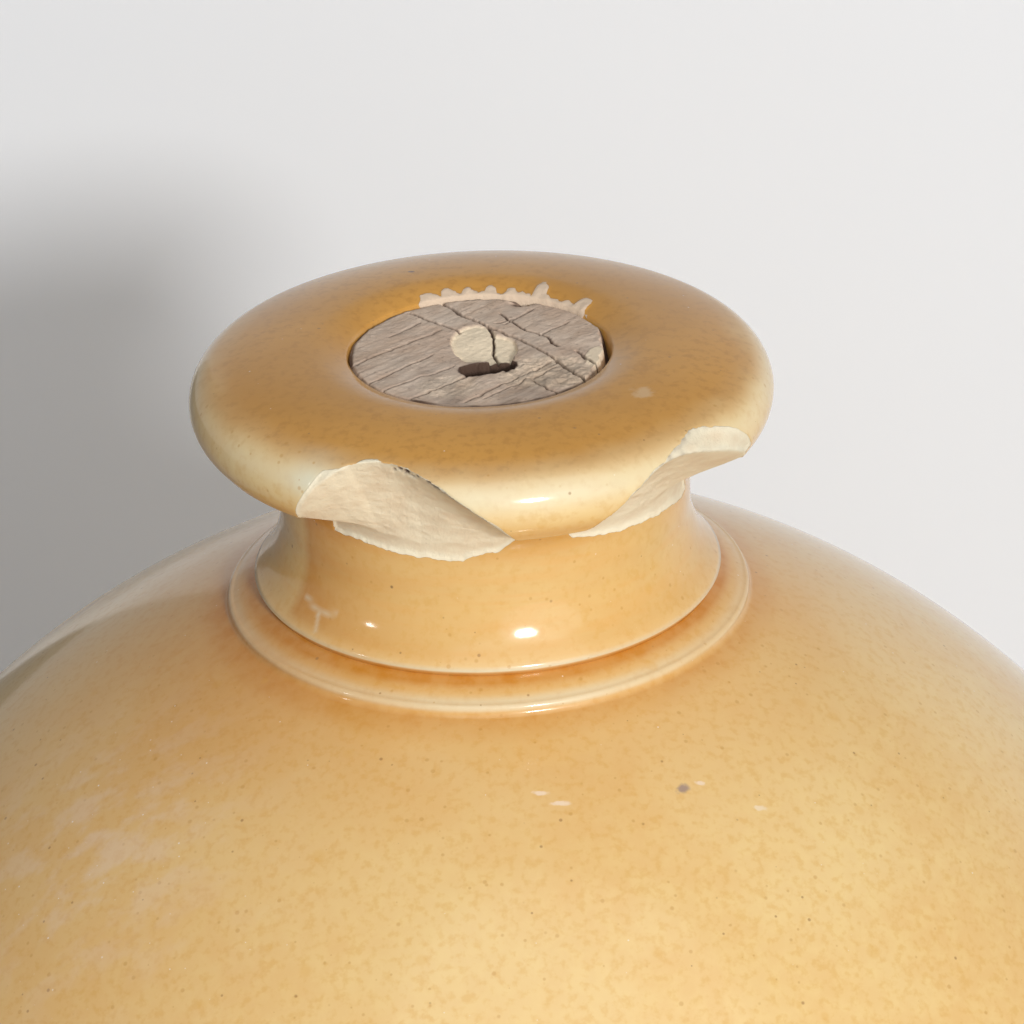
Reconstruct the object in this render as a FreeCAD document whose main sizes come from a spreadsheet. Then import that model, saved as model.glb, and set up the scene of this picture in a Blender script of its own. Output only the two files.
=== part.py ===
# A corked stoneware jar: a big round-shouldered body, a narrow neck on a turned collar,
# a heavy rolled rim with two old chips in it, and a wooden bung driven flush into the mouth.
# All sizes are millimetres; the origin is the centre of the foot and +Z points up.
import FreeCAD, Part
import math
import os
import Sketcher

# The driving sizes. An angle is counted from the front (-Y) towards +X, in degrees.
SIZES = {
    # the whole jar
    "height": 392.0,
    "body_dia": 248.0,
    "foot_round": 5.0,
    "shoulder_radius": 139.8,
    # the rim, from its crest down to the neck
    "neck_dia": 56.9,
    "rim_overhang": 11.55,
    "rim_edge_round": 5.2,
    "rim_edge_drop": 7.0,
    "rim_shoulder_angle": 72.0,
    "underside_tilt": 22.0,
    # the neck and the collar at its foot
    "neck_fillet": 5.5,
    "waist_length": 4.0,
    "flare_rise": 10.4,
    "flare_out": 4.15,
    "groove_depth": 0.6,
    "groove_width": 1.0,
    "collar_out": 3.9,
    "collar_fall": 3.1,
    "collar_lip": 0.7,
    "collar_step": 0.7,
    # the mouth and its seat
    "mouth_dia": 36.2,
    "mouth_dip": 1.3,
    "bevel_width": 5.4,
    "seat_taper": 1.6,
    "seat_depth": 28.0,
    # the bung
    "bung_gap": 0.3,
    "bung_chamfer": 0.4,
    "scoop_dia": 11.0,
    "scoop_floor_dia": 5.0,
    "scoop_depth": 2.4,
    "scoop_side": 0.0,
    "scoop_front": -1.5,
    "pit_dia": 5.4,
    "pit_depth": 8.0,
    "pit_side": 0.5,
    "pit_front": 4.6,
    # both chips
    "chip_foot_rise": 1.7,
    "chip_foot_bite": 0.25,
    "chip_top_rise": 0.2,
    # the left chip: a scoop with a steep right wall
    "left_foot_from": -36.0,
    "left_foot_to": 4.5,
    "left_foot_outer_from": -43.0,
    "left_foot_outer_to": 9.5,
    "left_top_from": -30.5,
    "left_top_to": -8.0,
    "left_top_outer_from": -39.0,
    "left_top_outer_to": 0.0,
    "left_top_from_offset": -2.4,
    "left_top_to_offset": 0.9,
    "left_hollow": 20.0,
    "left_reach": 12.0,
    # the right chip: a longer shell-shaped flake
    "right_foot_from": 21.0,
    "right_foot_to": 72.0,
    "right_foot_outer_from": 21.0,
    "right_foot_outer_to": 72.0,
    "right_top_from": 27.0,
    "right_top_to": 62.0,
    "right_top_outer_from": 27.0,
    "right_top_outer_to": 66.0,
    "right_top_from_offset": 7.5,
    "right_top_to_offset": 9.0,
    "right_hollow": 26.0,
    "right_reach": 22.0,
}

CHIPS = ("left", "right")

# Places that follow from the sizes, as expressions in the sheet's names: radii and heights.
NECK = "(sizes.neck_dia / 2)"
RIM = f"({NECK} + sizes.rim_overhang)"
CREST = "sizes.height"
MOUTH = "(sizes.mouth_dia / 2)"
MOUTH_HEIGHT = f"({CREST} - sizes.mouth_dip)"
SEAT = f"({MOUTH} - sizes.seat_taper)"
SEAT_HEIGHT = f"({MOUTH_HEIGHT} - sizes.seat_depth)"
EDGE = f"({RIM} - sizes.rim_edge_round)"
EDGE_HEIGHT = f"({CREST} - sizes.rim_edge_drop)"
DOME = f"({EDGE} + sizes.rim_edge_round * cos(sizes.rim_shoulder_angle))"
DOME_HEIGHT = f"({EDGE_HEIGHT} + sizes.rim_edge_round * sin(sizes.rim_shoulder_angle))"
UNDER = f"({EDGE} + sizes.rim_edge_round * sin(sizes.underside_tilt))"
UNDER_HEIGHT = f"({EDGE_HEIGHT} - sizes.rim_edge_round * cos(sizes.underside_tilt))"
FILLET = f"({NECK} + sizes.neck_fillet * (1 - sin(sizes.underside_tilt)))"
FILLET_HEIGHT = f"({UNDER_HEIGHT} - ({UNDER} - {FILLET}) * tan(sizes.underside_tilt))"
FILLET_FOOT = f"({FILLET_HEIGHT} - sizes.neck_fillet * cos(sizes.underside_tilt))"
WAIST_HEIGHT = f"({FILLET_FOOT} - sizes.waist_length)"
CREASE = f"({NECK} + sizes.flare_out)"
CREASE_HEIGHT = f"({WAIST_HEIGHT} - sizes.flare_rise)"
COLLAR = f"({CREASE} + sizes.collar_out)"
COLLAR_TOP = f"({CREASE_HEIGHT} - sizes.collar_fall)"
COLLAR_HEIGHT = f"({COLLAR_TOP} - sizes.collar_lip - sizes.collar_step)"
BODY = "(sizes.body_dia / 2)"


def make_sheet(doc):
    """The spreadsheet of driving sizes: a name, its value and the alias that others read."""
    sheet = doc.addObject("Spreadsheet::Sheet", "sizes")
    for row, (name, value) in enumerate(SIZES.items(), start=1):
        sheet.set(f"A{row}", name)
        sheet.set(f"B{row}", str(value))
        sheet.setAlias(f"B{row}", name)
    doc.recompute()
    return sheet


def origin_plane(body, role):
    """The body's own origin plane of that role."""
    for feature in body.Origin.OriginFeatures:
        if feature.Role == role:
            return feature
    raise ValueError(f"{body.Label} has no {role}")


def new_sketch(body, name, role, height=None):
    """A sketch flat on one of the body's origin planes, lifted by the expression height."""
    sketch = body.newObject("Sketcher::SketchObject", name)
    sketch.AttachmentSupport = (origin_plane(body, role), "")
    sketch.MapMode = "FlatFace"
    if height:
        sketch.setExpression("AttachmentOffset.Base.z", height)
    body.Document.recompute()
    return sketch


def arc_between(start, end, radius, side):
    """The arc of that radius from start to end, bulging to the left (+1) or right (-1) of the way."""
    chord = end - start
    rise = math.sqrt(radius ** 2 - (chord.Length / 2) ** 2)
    across = FreeCAD.Vector(chord.y, -chord.x, 0).normalize()
    centre = (start + end) / 2 + across * rise * side
    first, last = (start, end) if side < 0 else (end, start)
    angles = [math.atan2(point.y - centre.y, point.x - centre.x) for point in (first, last)]
    circle = Part.Circle(centre, FreeCAD.Vector(0, 0, 1), radius)
    return Part.ArcOfCircle(circle, angles[0], angles[1])


def pin_point(sketch, geometry, position, expressions):
    """Fixes a point of the sketch at two coordinates, each an expression in the sheet's names."""
    kinds = (("DistanceX", -2), ("DistanceY", -1))
    for (kind, axis), expression in zip(kinds, expressions):
        if expression == "0":
            sketch.addConstraint(Sketcher.Constraint("PointOnObject", geometry, position, axis))
            continue
        value = float(sketch.evalExpression(expression))
        index = sketch.addConstraint(Sketcher.Constraint(kind, -1, 1, geometry, position, value))
        sketch.setExpression(f"Constraints[{index}]", expression)


def draw_outline(sketch, corners, arcs):
    """
    A closed outline: corners are pairs of expressions, and arcs maps the number of a side
    to the radius expression and the side to which it bulges. The other sides are straight.
    """
    places = [FreeCAD.Vector(*(float(sketch.evalExpression(part)) for part in pair), 0) for pair in corners]
    ends = []
    for side, start in enumerate(places):
        end = places[(side + 1) % len(places)]
        if side in arcs:
            radius, bulge = arcs[side]
            geometry = arc_between(start, end, float(sketch.evalExpression(radius)), bulge)
            number = sketch.addGeometry(geometry, False)
            index = sketch.addConstraint(Sketcher.Constraint("Radius", number, geometry.Radius))
            sketch.setExpression(f"Constraints[{index}]", radius)
            ends.append((number, 1, 2) if bulge < 0 else (number, 2, 1))
        else:
            number = sketch.addGeometry(Part.LineSegment(start, end), False)
            ends.append((number, 1, 2))
    for side, (number, first, _) in enumerate(ends):
        before, _, last = ends[side - 1]
        sketch.addConstraint(Sketcher.Constraint("Coincident", before, last, number, first))
        pin_point(sketch, number, first, corners[side])


def turned(body, sketch, name):
    """The solid that the sketch makes when it is turned once about the vertical axis."""
    turn = body.newObject("PartDesign::Revolution", name)
    turn.Profile = sketch
    turn.ReferenceAxis = (sketch, ["V_Axis"])
    turn.Angle = 360.0
    return turn


def level_arc(run, rise):
    """The radius of the arc that starts level (or upright) and ends run further on and rise across."""
    return f"({run} ^ 2 + {rise} ^ 2) / (2 * {rise})"


def jar_outline(sketch):
    """
    The jar's half section, from the foot's centre outwards and up: foot, wall, shoulder arc,
    collar, groove, flared neck, rim, mouth and the blind seat of the bung.
    """
    shoulder_run = f"({COLLAR} - {BODY} + sizes.shoulder_radius)"
    corners = [
        ("0", "0"),
        (f"{BODY} - sizes.foot_round", "0"),
        (BODY, "sizes.foot_round"),
        (BODY, f"{COLLAR_HEIGHT} - sqrt(sizes.shoulder_radius ^ 2 - {shoulder_run} ^ 2)"),
        (COLLAR, COLLAR_HEIGHT),
        (COLLAR, f"{COLLAR_TOP} - sizes.collar_lip"),
        (f"{COLLAR} - sizes.collar_lip", COLLAR_TOP),
        (f"{CREASE} - sizes.groove_depth", f"{CREASE_HEIGHT} - sizes.groove_width"),
        (CREASE, CREASE_HEIGHT),
        (NECK, WAIST_HEIGHT),
        (NECK, FILLET_FOOT),
        (FILLET, FILLET_HEIGHT),
        (UNDER, UNDER_HEIGHT),
        (DOME, DOME_HEIGHT),
        (f"{MOUTH} + sizes.bevel_width", CREST),
        (MOUTH, MOUTH_HEIGHT),
        (SEAT, SEAT_HEIGHT),
        ("0", SEAT_HEIGHT),
    ]
    arcs = {
        1: ("sizes.foot_round", -1),
        3: ("sizes.shoulder_radius", -1),
        5: ("sizes.collar_lip", -1),
        8: (level_arc("sizes.flare_rise", "sizes.flare_out"), 1),
        10: ("sizes.neck_fillet", 1),
        12: ("sizes.rim_edge_round", -1),
        13: (level_arc(f"({DOME} - {MOUTH} - sizes.bevel_width)", f"({CREST} - {DOME_HEIGHT})"), -1),
        14: (level_arc("sizes.bevel_width", "sizes.mouth_dip"), -1),
    }
    draw_outline(sketch, corners, arcs)


def polar(radius, angle):
    """The two coordinates of a point at that radius and angle from the front."""
    return (f"({radius}) * sin({angle})", f"-({radius}) * cos({angle})")


def chip_section(sketch, chip, level, inner, hollow, bulge):
    """One level of a chip: an inner arc, where the clay was left, and corners out in the air."""
    outer = f"{RIM} + sizes.{chip}_reach"
    corners = [
        polar(inner[0], f"sizes.{chip}_{level}_from"),
        polar(inner[1], f"sizes.{chip}_{level}_to"),
        polar(outer, f"sizes.{chip}_{level}_outer_to"),
        polar(outer, f"sizes.{chip}_{level}_outer_from"),
    ]
    draw_outline(sketch, corners, {0: (hollow, bulge)})


def cut_chip(body, chip):
    """A flake struck off the rim: a ruled hollow from an arc round the neck to one over the rim."""
    foot = new_sketch(body, f"{chip}_chip_foot", "XY_Plane", f"{FILLET_FOOT} + sizes.chip_foot_rise")
    neck = f"{NECK} + sizes.chip_foot_bite"
    chip_section(foot, chip, "foot", (neck, neck), neck, -1)
    top = new_sketch(body, f"{chip}_chip_top", "XY_Plane", f"{CREST} + sizes.chip_top_rise")
    rim = [f"{RIM} + sizes.{chip}_top_{end}_offset" for end in ("from", "to")]
    chip_section(top, chip, "top", rim, f"sizes.{chip}_hollow", 1)
    body.Document.recompute()
    flake = body.newObject("PartDesign::SubtractiveLoft", f"{chip}_chip")
    flake.Profile = foot
    flake.Sections = [top]
    flake.Ruled = True
    return flake


def make_jar(doc):
    """The thrown and turned stoneware body with its rim and the two chips."""
    body = doc.addObject("PartDesign::Body", "jar_body")
    body.Label = "jar"
    sketch = new_sketch(body, "jar_half_section", "XZ_Plane")
    jar_outline(sketch)
    turned(body, sketch, "jar_turned")
    doc.recompute()
    for chip in CHIPS:
        before = body.Shape.Volume
        flake = cut_chip(body, chip)
        doc.recompute()
        if not flake.Shape.Volume < before:
            raise RuntimeError(f"the {chip} chip cuts nothing")
    return body


def sunk_round(body, kind, name, sizes, side, front, depth):
    """A round hollow cut straight down into the bung's top, at a place across and towards the front."""
    hollow = body.newObject(f"PartDesign::Subtractive{kind}", name)
    hollow.AttachmentSupport = (origin_plane(body, "XY_Plane"), "")
    hollow.MapMode = "FlatFace"
    for key, expression in sizes.items():
        hollow.setExpression(key, expression)
    hollow.setExpression("AttachmentOffset.Base.x", side)
    hollow.setExpression("AttachmentOffset.Base.y", f"-({front})")
    hollow.setExpression("AttachmentOffset.Base.z", f"{MOUTH_HEIGHT} - {depth}")
    return hollow


def make_bung(doc):
    """The tapered wooden bung: it stands on the seat's floor, its top flush with the mouth's edge."""
    body = doc.addObject("PartDesign::Body", "bung_body")
    body.Label = "bung"
    sketch = new_sketch(body, "bung_half_section", "XZ_Plane")
    corners = [
        ("0", SEAT_HEIGHT),
        (f"{SEAT} - sizes.bung_gap", SEAT_HEIGHT),
        (f"{MOUTH} - sizes.bung_gap", f"{MOUTH_HEIGHT} - sizes.bung_chamfer"),
        (f"{MOUTH} - sizes.bung_gap - sizes.bung_chamfer", MOUTH_HEIGHT),
        ("0", MOUTH_HEIGHT),
    ]
    draw_outline(sketch, corners, {})
    turned(body, sketch, "bung_turned")
    doc.recompute()
    before = body.Shape.Volume
    scoop = {
        "Radius1": "sizes.scoop_floor_dia / 2",
        "Radius2": "sizes.scoop_dia / 2",
        "Height": "sizes.scoop_depth",
    }
    pit = {
        "Radius": "sizes.pit_dia / 2",
        "Height": "sizes.pit_depth",
    }
    hollows = [
        ("Cone", "bung_scoop", scoop, "sizes.scoop_side", "sizes.scoop_front", "sizes.scoop_depth"),
        ("Cylinder", "bung_pit", pit, "sizes.pit_side", "sizes.pit_front", "sizes.pit_depth"),
    ]
    for hollow in hollows:
        feature = sunk_round(body, *hollow)
        doc.recompute()
        if not feature.Shape.Volume < before:
            raise RuntimeError(f"{hollow[1]} cuts nothing")
        before = feature.Shape.Volume
    return body


def check(doc, parts):
    """Stops on a failed object, and on a sub-part that isn't one valid solid."""
    for item in doc.Objects:
        if "Invalid" in item.State or "Error" in item.State:
            raise RuntimeError(f"{item.Label} failed: {item.State}")
    for part in parts:
        shape = part.Shape
        if shape.isNull() or not shape.isValid() or len(shape.Solids) != 1:
            raise RuntimeError(f"{part.Label} isn't one valid solid")


def main():
    doc = FreeCAD.newDocument("corked_jar")
    make_sheet(doc)
    parts = [make_jar(doc), make_bung(doc)]
    doc.recompute()
    check(doc, parts)
    os.makedirs("parts", exist_ok=True)
    for part in parts:
        part.Shape.exportStep(f"parts/{part.Label}.step")
        box = part.Shape.optimalBoundingBox()
        print(f"{part.Label}: {part.Shape.Volume / 1000:.1f} cm3, {box.XLength:.1f} x {box.YLength:.1f}"
              f" x {box.ZLength:.1f} mm, z from {box.ZMin:.2f}")


main()
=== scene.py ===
"""
The looks of a corked stoneware jar: honey glaze over pale clay, two old chips in the rolled
rim, and a weathered wooden bung sawn off flush with the mouth.
"""

import itertools
import math

import bpy
import numpy as np
from mathutils import Matrix, Vector


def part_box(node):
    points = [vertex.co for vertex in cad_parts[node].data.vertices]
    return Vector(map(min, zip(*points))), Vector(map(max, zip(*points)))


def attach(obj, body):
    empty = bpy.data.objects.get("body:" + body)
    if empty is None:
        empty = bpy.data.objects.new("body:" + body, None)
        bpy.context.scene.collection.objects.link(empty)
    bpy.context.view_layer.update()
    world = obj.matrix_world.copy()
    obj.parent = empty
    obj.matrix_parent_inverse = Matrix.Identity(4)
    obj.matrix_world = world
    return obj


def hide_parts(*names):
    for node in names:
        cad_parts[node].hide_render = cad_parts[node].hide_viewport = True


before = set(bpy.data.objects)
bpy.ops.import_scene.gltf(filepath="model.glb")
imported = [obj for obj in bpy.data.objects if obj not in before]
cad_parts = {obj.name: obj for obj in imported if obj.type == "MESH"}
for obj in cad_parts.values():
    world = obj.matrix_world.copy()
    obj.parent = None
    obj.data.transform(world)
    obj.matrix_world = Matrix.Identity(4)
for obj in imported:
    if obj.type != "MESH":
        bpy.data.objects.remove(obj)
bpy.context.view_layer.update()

# Lengths below are millimetres, except in shaders and where metres are named; a mesh is scaled to
# metres when it is made. An azimuth is in degrees from the front (-Y) towards +X, and a drop is
# counted down from the rim's crest.
MM = 0.001

JAR_LOW, JAR_HIGH = (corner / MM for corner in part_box("jar"))
BUNG_LOW, BUNG_HIGH = (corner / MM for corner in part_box("bung"))
CREST = JAR_HIGH.z
BODY_RADIUS = (JAR_HIGH.x - JAR_LOW.x) / 2
BUNG_TOP = BUNG_HIGH.z
BUNG_RADIUS = (BUNG_HIGH.x - BUNG_LOW.x) / 2
SEAT_FLOOR = BUNG_LOW.z

NECK_RADIUS = 28.45
RIM_RADIUS = NECK_RADIUS + 11.55
EDGE_ROUND = 5.2
EDGE_DROP = 7.0
EDGE_TOP_ANGLE = math.radians(72)
UNDERSIDE_TILT = math.radians(22)
NECK_FILLET = 5.5
WAIST_LENGTH = 4.0
FLARE_RISE = 10.4
FLARE_OUT = 4.15
GROOVE_DEPTH = 0.6
GROOVE_WIDTH = 1.0
COLLAR_OUT = 3.9
COLLAR_FALL = 3.1
COLLAR_LIP = 0.7
COLLAR_STEP = 0.7
SHOULDER_RADIUS = 139.8
FOOT_ROUND = 5.0
POOL_ROUND = 1.04
MOUTH_RADIUS = BUNG_RADIUS + 0.3
MOUTH_DIP = CREST - BUNG_TOP
BEVEL_WIDTH = 5.4
SEAT_TAPER = 1.6

# The edges of the two breaks, as (azimuth, drop) along the upper edge and along the lower one, and
# how hollow the sections between them are, as (azimuth, power).
LEFT_BREAK = {
    "upper": [(-45.5, 17.5), (-41.0, 12.4), (-39.2, 9.7), (-37.5, 7.6), (-34.6, 4.6), (-33.6, 3.2),
              (-29.0, 2.3), (-25.0, 1.65), (-20.0, 1.8), (-16.5, 1.9), (-12.0, 2.3), (-8.6, 3.2),
              (-4.7, 4.8), (-1.1, 6.4), (2.5, 8.4), (4.6, 10.2), (6.4, 12.2), (8.6, 14.6)],
    "lower": [(-45.5, 17.6), (-37.7, 17.9), (-30.5, 18.3), (-23.0, 18.7), (-15.0, 18.8), (-7.0, 19.0),
              (-2.0, 18.1), (3.0, 17.7), (5.4, 16.6), (8.6, 14.7)],
    "hollow": [(-45.5, 1.0), (-36.0, 1.1), (-30.0, 1.25), (-20.0, 1.7), (-10.0, 2.0), (0.0, 2.3), (8.6, 1.8)],
}
RIGHT_BREAK = {
    "upper": [(17.2, 12.1), (20.7, 11.0), (23.0, 9.6), (25.7, 8.1), (28.3, 6.6), (31.4, 5.4), (34.3, 4.3),
              (37.9, 3.8), (42.3, 3.9), (46.0, 4.4), (52.7, 5.9), (60.6, 8.4), (66.0, 11.6), (71.0, 16.0),
              (74.0, 19.4)],
    "lower": [(17.2, 12.3), (20.0, 14.6), (23.0, 17.1), (31.0, 17.7), (37.0, 18.3), (44.0, 18.6),
              (53.0, 19.0), (64.0, 19.5), (70.0, 20.0), (74.0, 19.6)],
    "hollow": [(17.2, 1.1), (25.0, 1.3), (38.0, 1.75), (48.0, 1.9), (60.0, 1.6), (74.0, 1.2)],
}
# A shallow place beside the right break where only the glaze and a skin of clay came away.
RIGHT_SPALL = {
    "upper": [(35.0, 4.2), (39.0, 3.4), (42.0, 2.9), (46.0, 2.4), (50.0, 2.5), (54.0, 3.2), (58.0, 4.4),
              (61.0, 6.2), (64.0, 8.6)],
    "lower": [(35.0, 4.4), (42.3, 4.6), (52.7, 6.3), (60.6, 8.7), (64.0, 8.8)],
    "hollow": [(35.0, 1.0), (64.0, 1.0)],
}
# Each break under the seed of its roughness.
BREAKS = {5: LEFT_BREAK, 9: RIGHT_BREAK, 63: RIGHT_SPALL}
# Tongues of pale crust on the far side of the mouth's bevel: azimuth, reach and half width.
CRUST_TONGUES = [(202.0, 19.8, 3.4), (192.0, 20.2, 3.6), (183.0, 19.7, 3.2), (174.5, 20.1, 3.2),
                 (165.7, 19.7, 3.2), (153.5, 21.6, 3.0), (131.0, 21.0, 3.0)]
# Crumbly holes along the upper edge of the left break: azimuth, drop, radius and depth.
CRUMBLED = [(-19.6, 3.0, 0.7, 0.4), (-18.2, 2.6, 0.7, 0.6), (-16.6, 2.9, 0.9, 0.8), (-15.2, 3.4, 0.6, 0.6),
            (-13.9, 3.0, 0.6, 0.5), (-11.0, 3.2, 0.8, 0.7), (-9.7, 3.7, 1.0, 0.9), (-8.4, 4.5, 0.7, 0.6),
            (-30.1, 3.5, 0.4, 0.3)]
# A thin forked ridge in the glaze on the neck's left side: azimuth and drop along each branch.
RIDGE = [[(-56.0, 29.3), (-49.5, 30.3), (-43.5, 29.6)], [(-49.5, 30.3), (-48.0, 32.2)]]
RIDGE_SCALE = (math.radians(1) * NECK_RADIUS, 1)
SPALL_DEPTH = 0.3
# How far the breaks' edges stray, and over how many degrees the sections between them are evened out.
JAG = 0.13
SECTION_BLUR = 5.0
# The rim's rows are this far apart, and three times as far inside the second radius.
FINE_ROW = 0.32
FINE_FROM = 30.0
BODY_COLUMNS = 384
BUNG_COLUMNS = 301


def ease(value, start=0.0, end=1.0):
    """0 below start and 1 above end, with the cubic 3t^2 - 2t^3 between them."""
    share = np.clip((value - start) / (end - start), 0, 1)
    return share * share * (3 - 2 * share)


def bell(value, centre, width):
    """A bell curve of height 1 at centre: exp(-(distance / width)^2)."""
    return np.exp(-(((value - centre) / width) ** 2))


def grain(x, y, z, size, seed):
    """Smooth random relief from -1 to 1: random values on a lattice of that size, eased between corners."""
    table = np.random.default_rng(seed).uniform(-1, 1, 8192)
    cells = np.stack(np.broadcast_arrays(x, y, z)) / size
    corner = np.floor(cells).astype(np.int64)
    share = ease(cells - corner)
    total = np.zeros(cells.shape[1:])
    for step in itertools.product((0, 1), repeat=3):
        place = corner + np.array(step).reshape(3, *([1] * (cells.ndim - 1)))
        value = table[(place[0] * 73 + place[1] * 1571 + place[2] * 3119) % 8192]
        total += value * np.prod([s if up else 1 - s for s, up in zip(share, step)], axis=0)
    return total


def rough(x, y, z, size, seed, octaves=4):
    """Grain at several sizes, each half as large and about half as strong as the one before."""
    return sum(grain(x, y, z, size / 2 ** o, seed + o) * 0.55 ** o for o in range(octaves))


def line(start, end, step):
    """Points on the straight line from start to just before end."""
    count = max(1, math.ceil(math.dist(start, end) / step))
    return np.array(start) + np.arange(count)[:, None] / count * (np.array(end) - start)


def arc(start, end, radius, side, step):
    """Points on the arc of that radius from start to just before end, bulging left (+1) or right (-1)."""
    start, end = np.array(start), np.array(end)
    chord = end - start
    length = math.hypot(*chord)
    rise = math.sqrt(radius ** 2 - (length / 2) ** 2)
    centre = (start + end) / 2 + np.array([chord[1], -chord[0]]) / length * rise * side
    first, last = (math.atan2(*(point - centre)[::-1]) for point in (start, end))
    turn = (last - first + math.pi) % (2 * math.pi) - math.pi
    count = max(2, math.ceil(abs(turn) * radius / step))
    angles = first + turn * np.arange(count) / count
    return centre + radius * np.stack([np.cos(angles), np.sin(angles)], axis=1)


def level_radius(run, rise):
    """The radius of the arc that starts level and ends run further on and rise across."""
    return (run ** 2 + rise ** 2) / (2 * rise)


EDGE = RIM_RADIUS - EDGE_ROUND
EDGE_HEIGHT = CREST - EDGE_DROP
DOME = (EDGE + EDGE_ROUND * math.cos(EDGE_TOP_ANGLE), EDGE_HEIGHT + EDGE_ROUND * math.sin(EDGE_TOP_ANGLE))
UNDER = (EDGE + EDGE_ROUND * math.sin(UNDERSIDE_TILT), EDGE_HEIGHT - EDGE_ROUND * math.cos(UNDERSIDE_TILT))
FILLET_RADIUS = NECK_RADIUS + NECK_FILLET * (1 - math.sin(UNDERSIDE_TILT))
FILLET = (FILLET_RADIUS, UNDER[1] - (UNDER[0] - FILLET_RADIUS) * math.tan(UNDERSIDE_TILT))
FILLET_FOOT = (NECK_RADIUS, FILLET[1] - NECK_FILLET * math.cos(UNDERSIDE_TILT))
WAIST = (NECK_RADIUS, FILLET_FOOT[1] - WAIST_LENGTH)
CREASE = (NECK_RADIUS + FLARE_OUT, WAIST[1] - FLARE_RISE)
GROOVE = (CREASE[0] - GROOVE_DEPTH, CREASE[1] - GROOVE_WIDTH)
COLLAR_EDGE = (CREASE[0] + COLLAR_OUT, CREASE[1] - COLLAR_FALL)
COLLAR_FOOT = (COLLAR_EDGE[0], COLLAR_EDGE[1] - COLLAR_LIP - COLLAR_STEP)
CREST_POINT = (MOUTH_RADIUS + BEVEL_WIDTH, CREST)
MOUTH = (MOUTH_RADIUS, BUNG_TOP)


def from_path(x, y, path):
    """Distance of each point from the nearest stretch of a path."""
    nearest = np.full(np.shape(x), 1e3)
    for (x0, y0), (x1, y1) in zip(path, path[1:]):
        length = math.hypot(x1 - x0, y1 - y0)
        share = np.clip(((x - x0) * (x1 - x0) + (y - y0) * (y1 - y0)) / length ** 2, 0, 1)
        nearest = np.minimum(nearest, np.hypot(x - x0 - share * (x1 - x0), y - y0 - share * (y1 - y0)))
    return nearest


def put_mesh(name, vertices, faces, fields, material):
    """A smooth mesh at the origin from arrays of places in millimetres, faces and point attributes."""
    mesh = bpy.data.meshes.new(name)
    mesh.from_pydata((vertices * MM).tolist(), [], faces)
    for label, values in fields.items():
        layer = mesh.attributes.new(label, "FLOAT", "POINT")
        layer.data.foreach_set("value", np.asarray(values, np.float32).ravel())
    mesh.polygons.foreach_set("use_smooth", np.ones(len(mesh.polygons), bool))
    mesh.materials.append(material)
    piece = bpy.data.objects.new(name, mesh)
    bpy.context.scene.collection.objects.link(piece)
    return piece


def around(name, azimuths, radius, height, fields, material):
    """
    A closed turned piece: rows of the grid follow the profile from one end on the axis to the
    other, columns go round. Its end rows have no radius, and each is one point with a fan.
    """
    rows, columns = radius.shape
    angle = np.radians(azimuths)
    grid = np.stack([radius * np.sin(angle), -radius * np.cos(angle), height], axis=-1)
    vertices = np.concatenate([grid[0, :1], grid[1:-1].reshape(-1, 3), grid[-1, :1]])
    start = 1 + np.arange(columns)
    after = np.roll(start, -1)
    last = len(vertices) - 1
    lift = (np.arange(rows - 3) * columns)[:, None, None]
    ring = np.stack([start, after, after + columns, start + columns], axis=1)
    faces = (ring[None] + lift).reshape(-1, 4).tolist()
    faces += np.stack([np.zeros_like(start), after, start], axis=1).tolist()
    top = (rows - 3) * columns
    faces += np.stack([start + top, after + top, np.full_like(start, last)], axis=1).tolist()
    point_fields = {
        label: np.concatenate([values[0, :1], values[1:-1].ravel(), values[-1, :1]])
        for label, values in fields.items()
    }
    return put_mesh(name, vertices, faces, point_fields, material)


def along(pairs, azimuth, blur=0.6):
    """The value at an azimuth on the line through (azimuth, value) pairs, its corners blurred."""
    steps = np.linspace(-blur, blur, 5)
    return sum(np.interp(azimuth + step, *zip(*pairs)) for step in steps) / len(steps)


def break_away(edges, seed, azimuth, height, outer, outer_radius):
    """
    What is left of the rim in a break, and how far inside the break each point is, in
    millimetres of height. Each upright section runs from the lower edge to the upper one as
    lower + (upper - lower) * share^hollow, roughened, and never leaves the old surface
    standing: it is taken down by at least the depth of a spall.
    """
    x, y = outer * np.sin(np.radians(azimuth)), -outer * np.cos(np.radians(azimuth))
    jag = JAG * rough(x, y, 0 * height, 1.3, seed, 3)
    upper = CREST - along(edges["upper"], azimuth) - jag
    lower = CREST - along(edges["lower"], azimuth) + 1.5 * jag
    inside = np.minimum(height - lower, upper - height)
    top = CREST - along(edges["upper"], azimuth, SECTION_BLUR)
    foot = CREST - along(edges["lower"], azimuth, SECTION_BLUR)
    share = np.clip((height - foot) / np.maximum(top - foot, 0.3), 0, 1.1)
    low_radius, high_radius = (
        sum(outer_radius(level + shift) for shift in (-0.8, 0, 0.8)) / 3 for level in (foot, top)
    )
    section = low_radius + (high_radius - low_radius) * share ** along(edges["hollow"], azimuth)
    depth = ease(inside, 0, 1.5)
    across = np.radians(azimuth) * RIM_RADIUS
    facets = 0.30 * grain(across, 0, height, 6.0, seed + 10)
    facets = facets + 0.07 * rough(across, 0, height * 1.6, 2.4, seed + 20, 4)
    strata = 0.07 * grain(across * 0.3, 0, height + 0.12 * across, 0.55, seed + 30)
    section = section - depth * np.maximum(facets + strata, -0.2)
    left = np.minimum(section, outer - SPALL_DEPTH * ease(inside, 0, 0.6))
    return np.where(inside > 0, left, outer), inside


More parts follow.
